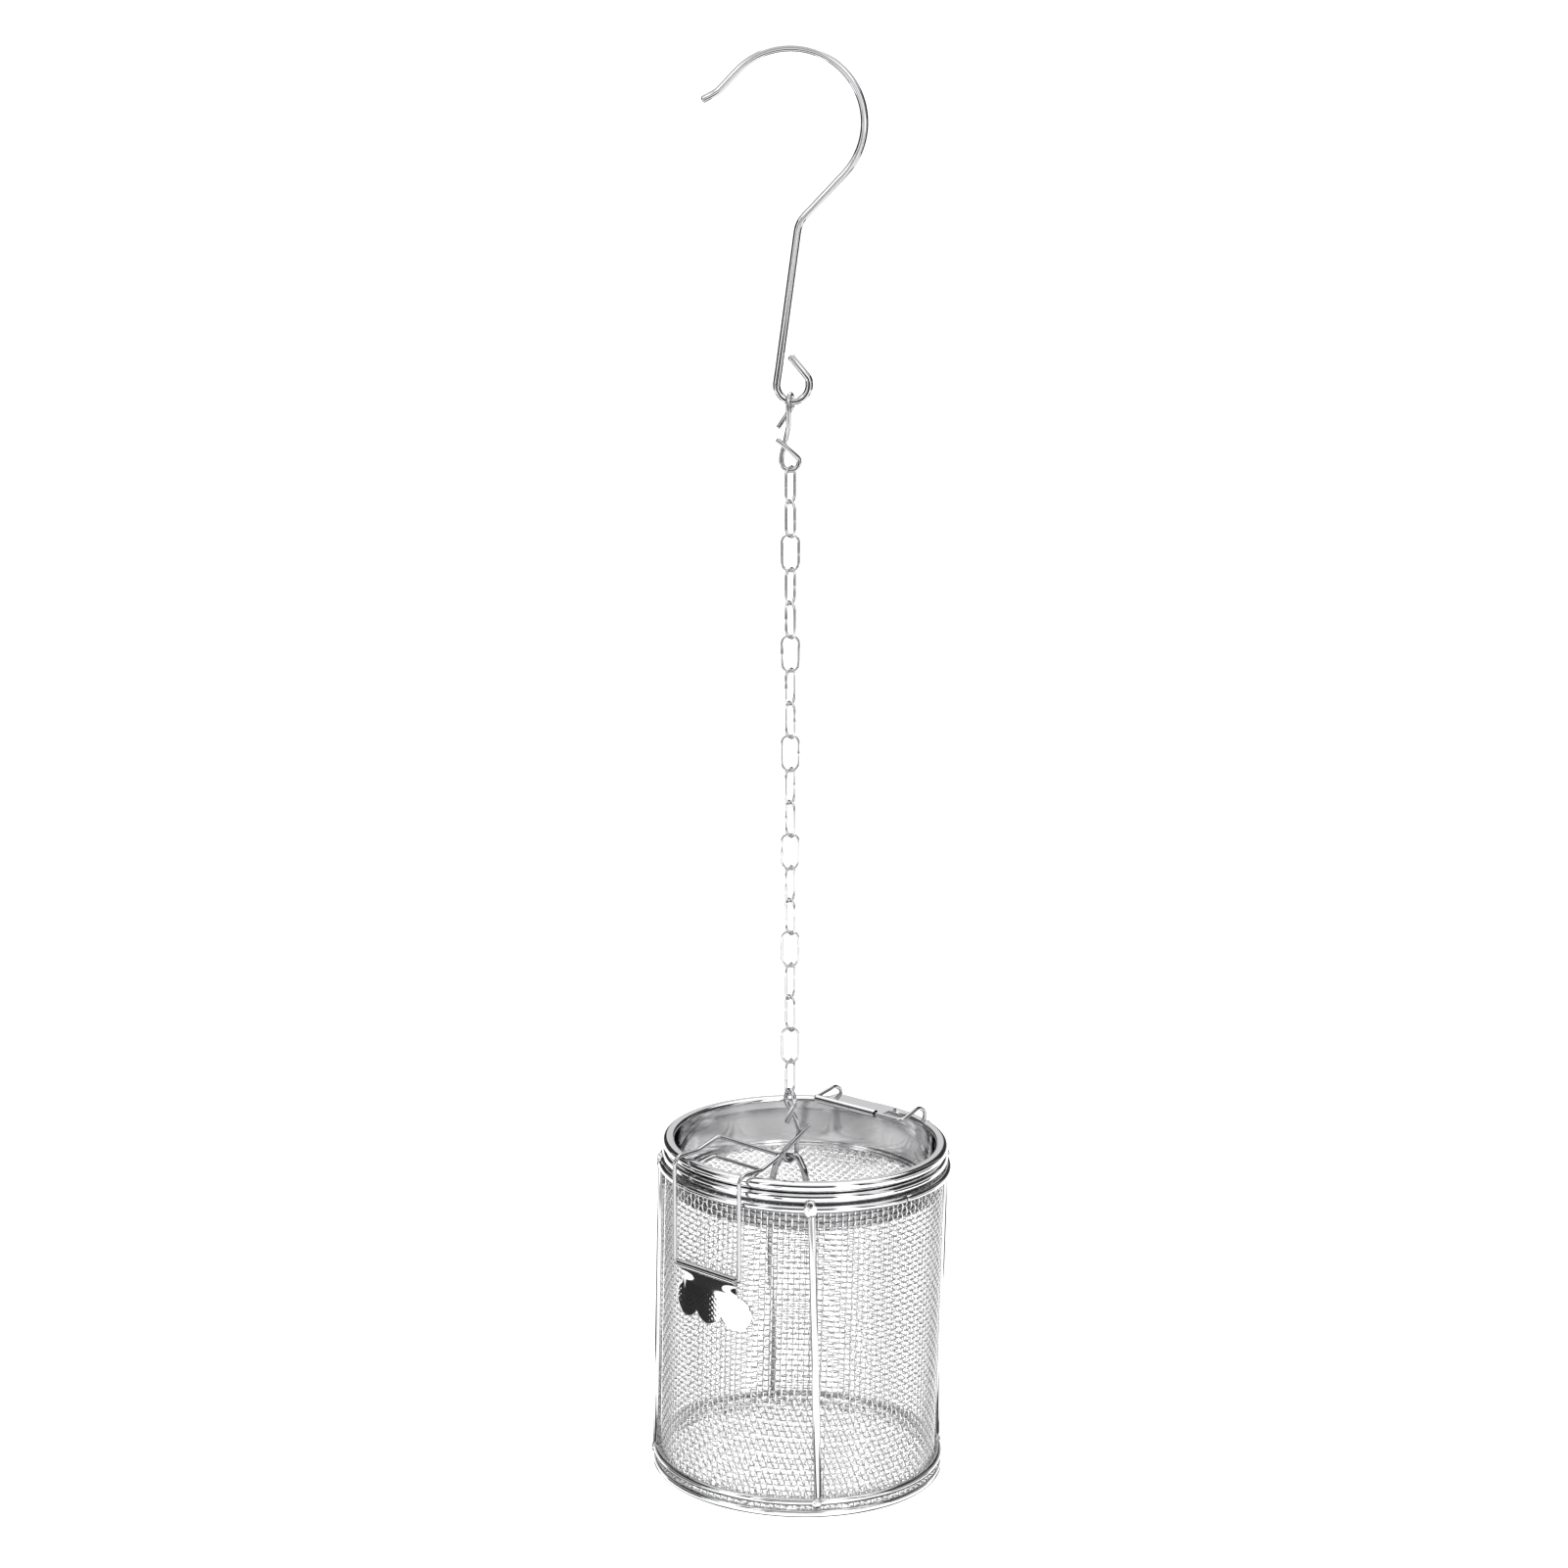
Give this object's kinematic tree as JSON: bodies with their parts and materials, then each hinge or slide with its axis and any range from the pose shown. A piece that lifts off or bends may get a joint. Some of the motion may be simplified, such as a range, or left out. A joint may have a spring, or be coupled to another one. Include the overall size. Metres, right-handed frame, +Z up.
{
  "type": "tea infuser",
  "caption": "Cylindrical woven-mesh tea basket with recessed hinged lid and sprung wire latch, hanging from a link chain with S-hooks and a pot hook.",
  "frame": {"origin": "seat of the pot hook: the inside of the top of its bend, where it rests on a rim or rail", "axes": "+Z up along the hanging chain, +X along the plane of the pot hook away from its open lip, +Y horizontal, away from the side that the basket latch faces"},
  "size_m": [0.0788, 0.0798, 0.3687],
  "materials": {
    "hook_wire": "bright drawn stainless wire",
    "chain_wire": "bright stainless chain wire",
    "frame_wire": "bright stainless wire, lightly polished",
    "polished_sheet": "mirror polished stainless sheet",
    "woven_mesh": "woven stainless mesh, soft sheen",
    "weld": "bright weld beads"
  },
  "bodies": {
    "hook": {"pot_hook": "hook_wire"},
    "upper_s_hook": {"upper_s_hook": "hook_wire"},
    "link_01": {"chain_link_01": "chain_wire"},
    "link_02": {"chain_link_02": "chain_wire"},
    "link_03": {"chain_link_03": "chain_wire"},
    "link_04": {"chain_link_04": "chain_wire"},
    "link_05": {"chain_link_05": "chain_wire"},
    "link_06": {"chain_link_06": "chain_wire"},
    "link_07": {"chain_link_07": "chain_wire"},
    "link_08": {"chain_link_08": "chain_wire"},
    "link_09": {"chain_link_09": "chain_wire"},
    "link_10": {"chain_link_10": "chain_wire"},
    "link_11": {"chain_link_11": "chain_wire"},
    "link_12": {"chain_link_12": "chain_wire"},
    "link_13": {"chain_link_13": "chain_wire"},
    "link_14": {"chain_link_14": "chain_wire"},
    "link_15": {"chain_link_15": "chain_wire"},
    "link_16": {"chain_link_16": "chain_wire"},
    "link_17": {"chain_link_17": "chain_wire"},
    "link_18": {"chain_link_18": "chain_wire"},
    "link_19": {"chain_link_19": "chain_wire"},
    "lower_s_hook": {"lower_s_hook": "hook_wire"},
    "lid": {"lid_collar": "polished_sheet", "lid_ring": "polished_sheet", "lid_mesh": "woven_mesh", "lid_handle": "hook_wire", "hinge_leaf": "polished_sheet", "hinge_wire": "hook_wire", "lid_catch": "hook_wire"},
    "basket": {"basket_band": "polished_sheet", "basket_mesh": "woven_mesh", "top_ring": "frame_wire", "bottom_ring": "frame_wire", "strut_front": "frame_wire", "strut_left": "frame_wire", "strut_right": "frame_wire", "strut_rear": "frame_wire", "strut_welds": "weld", "bottom_mesh": "woven_mesh", "bottom_rim": "polished_sheet", "hinge_pin": "hook_wire", "latch_plate": "polished_sheet"},
    "bail": {"latch_bail": "hook_wire"}
  },
  "joints": [
    {"name": "hook_swing", "type": "hinge", "parent": "hook", "child": "upper_s_hook", "pos_m": [0, 0, -0.08524], "axis": [1, 0, 0], "range_deg": [-55, 55]},
    {"name": "link_01_swing", "type": "hinge", "parent": "upper_s_hook", "child": "link_01", "pos_m": [0, 0, -0.1025], "axis": [1, 0, 0], "range_deg": [-55, 55]},
    {"name": "link_02_swing", "type": "hinge", "parent": "link_01", "child": "link_02", "pos_m": [0, 0, -0.11081], "axis": [-0.5, -0.866, 0], "range_deg": [-55, 55]},
    {"name": "link_03_swing", "type": "hinge", "parent": "link_02", "child": "link_03", "pos_m": [0, 0, -0.11937], "axis": [0.5, -0.866, 0], "range_deg": [-55, 55]},
    {"name": "link_04_swing", "type": "hinge", "parent": "link_03", "child": "link_04", "pos_m": [0, 0, -0.12793], "axis": [1, 0, 0], "range_deg": [-55, 55]},
    {"name": "link_05_swing", "type": "hinge", "parent": "link_04", "child": "link_05", "pos_m": [0, 0, -0.1365], "axis": [0.5, 0.866, 0], "range_deg": [-55, 55]},
    {"name": "link_06_swing", "type": "hinge", "parent": "link_05", "child": "link_06", "pos_m": [0, 0, -0.14505], "axis": [-0.5, 0.866, 0], "range_deg": [-55, 55]},
    {"name": "link_07_swing", "type": "hinge", "parent": "link_06", "child": "link_07", "pos_m": [0, 0, -0.15362], "axis": [-1, 0, 0], "range_deg": [-55, 55]},
    {"name": "link_08_swing", "type": "hinge", "parent": "link_07", "child": "link_08", "pos_m": [0, 0, -0.16218], "axis": [-0.5, -0.866, 0], "range_deg": [-55, 55]},
    {"name": "link_09_swing", "type": "hinge", "parent": "link_08", "child": "link_09", "pos_m": [0, 0, -0.17073], "axis": [0.5, -0.866, 0], "range_deg": [-55, 55]},
    {"name": "link_10_swing", "type": "hinge", "parent": "link_09", "child": "link_10", "pos_m": [0, 0, -0.1793], "axis": [1, 0, 0], "range_deg": [-55, 55]},
    {"name": "link_11_swing", "type": "hinge", "parent": "link_10", "child": "link_11", "pos_m": [0, 0, -0.18785], "axis": [0.5, 0.866, 0], "range_deg": [-55, 55]},
    {"name": "link_12_swing", "type": "hinge", "parent": "link_11", "child": "link_12", "pos_m": [0, 0, -0.19642], "axis": [-0.5, 0.866, 0], "range_deg": [-55, 55]},
    {"name": "link_13_swing", "type": "hinge", "parent": "link_12", "child": "link_13", "pos_m": [0, 0, -0.20497], "axis": [-1, 0, 0], "range_deg": [-55, 55]},
    {"name": "link_14_swing", "type": "hinge", "parent": "link_13", "child": "link_14", "pos_m": [0, 0, -0.21354], "axis": [-0.5, -0.866, 0], "range_deg": [-55, 55]},
    {"name": "link_15_swing", "type": "hinge", "parent": "link_14", "child": "link_15", "pos_m": [0, 0, -0.22209], "axis": [0.5, -0.866, 0], "range_deg": [-55, 55]},
    {"name": "link_16_swing", "type": "hinge", "parent": "link_15", "child": "link_16", "pos_m": [0, 0, -0.23065], "axis": [1, 0, 0], "range_deg": [-55, 55]},
    {"name": "link_17_swing", "type": "hinge", "parent": "link_16", "child": "link_17", "pos_m": [0, 0, -0.23922], "axis": [0.5, 0.866, 0], "range_deg": [-55, 55]},
    {"name": "link_18_swing", "type": "hinge", "parent": "link_17", "child": "link_18", "pos_m": [0, 0, -0.24777], "axis": [-0.5, 0.866, 0], "range_deg": [-55, 55]},
    {"name": "link_19_swing", "type": "hinge", "parent": "link_18", "child": "link_19", "pos_m": [0, 0, -0.25633], "axis": [-1, 0, 0], "range_deg": [-55, 55]},
    {"name": "lower_hook_swing", "type": "hinge", "parent": "link_19", "child": "lower_s_hook", "pos_m": [0, 0, -0.26489], "axis": [-0.5, -0.866, 0], "range_deg": [-55, 55]},
    {"name": "handle_swing", "type": "hinge", "parent": "lower_s_hook", "child": "lid", "pos_m": [0, 0, -0.28285], "axis": [0.766, 0.6428, 0], "range_deg": [-30, 30]},
    {"name": "lid_hinge", "type": "hinge", "parent": "lid", "child": "basket", "pos_m": [0.0268, 0.02995, -0.28092], "axis": [0.7878, -0.6157, -0.0183], "range_deg": [0, 110], "deforming": ["latch_bail"]},
    {"name": "bail_swing", "type": "hinge", "parent": "basket", "child": "bail", "pos_m": [-0.0211, -0.02751, -0.30322], "axis": [-0.7545, 0.6561, 0.0175], "range_deg": [-110, 0]}
  ]
}
